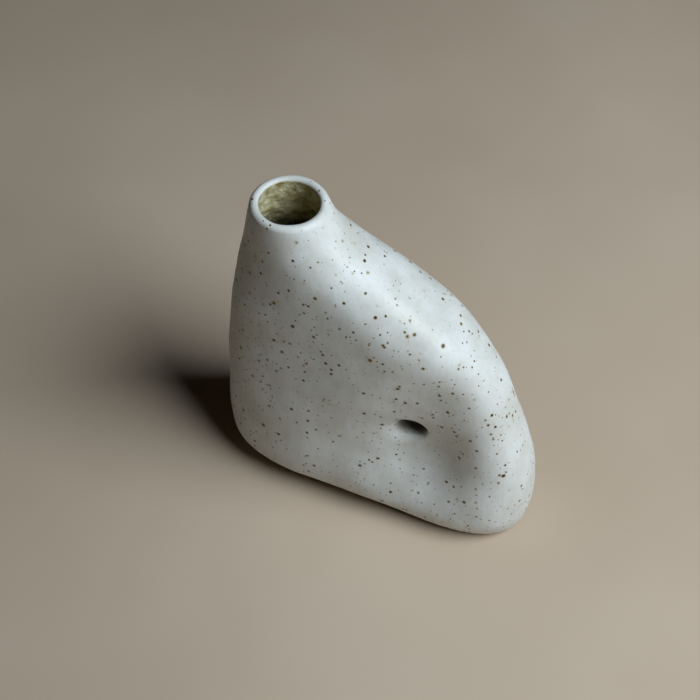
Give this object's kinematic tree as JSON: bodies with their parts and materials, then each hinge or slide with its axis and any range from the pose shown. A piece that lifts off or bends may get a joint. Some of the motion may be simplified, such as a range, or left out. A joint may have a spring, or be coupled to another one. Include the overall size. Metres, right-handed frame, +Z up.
{
  "type": "bud vase",
  "caption": "Hand-built stoneware bud vase: hollow sloping body with a round neck, a small hole through it and a speckled pale glaze.",
  "frame": {"origin": "centre of the foot on the table, under the middle of the bounding box", "axes": "+Z up towards the mouth, +X along the length from the neck towards the thick leg, +Y from the front face to the back face"},
  "size_m": [0.139, 0.0579, 0.1524],
  "materials": {
    "stoneware_clay": "matt, iron-speckled fired clay",
    "pale_speckled_glaze": "satin off-white glaze with brown iron specks",
    "clear_liner_glaze": "glossy clear glaze over khaki clay"
  },
  "bodies": {
    "root": {"base_slab": "stoneware_clay", "foot_course": "stoneware_clay", "lower_course": "stoneware_clay", "pierced_course": "stoneware_clay", "shoulder_course": "stoneware_clay", "arch_course": "stoneware_clay", "collar_course": "stoneware_clay", "neck_course": "stoneware_clay", "lip_coil": "stoneware_clay", "tunnel_wall": "stoneware_clay", "outer_glaze": "pale_speckled_glaze", "tunnel_glaze": "pale_speckled_glaze", "liner_glaze": "clear_liner_glaze"}
  },
  "joints": []
}
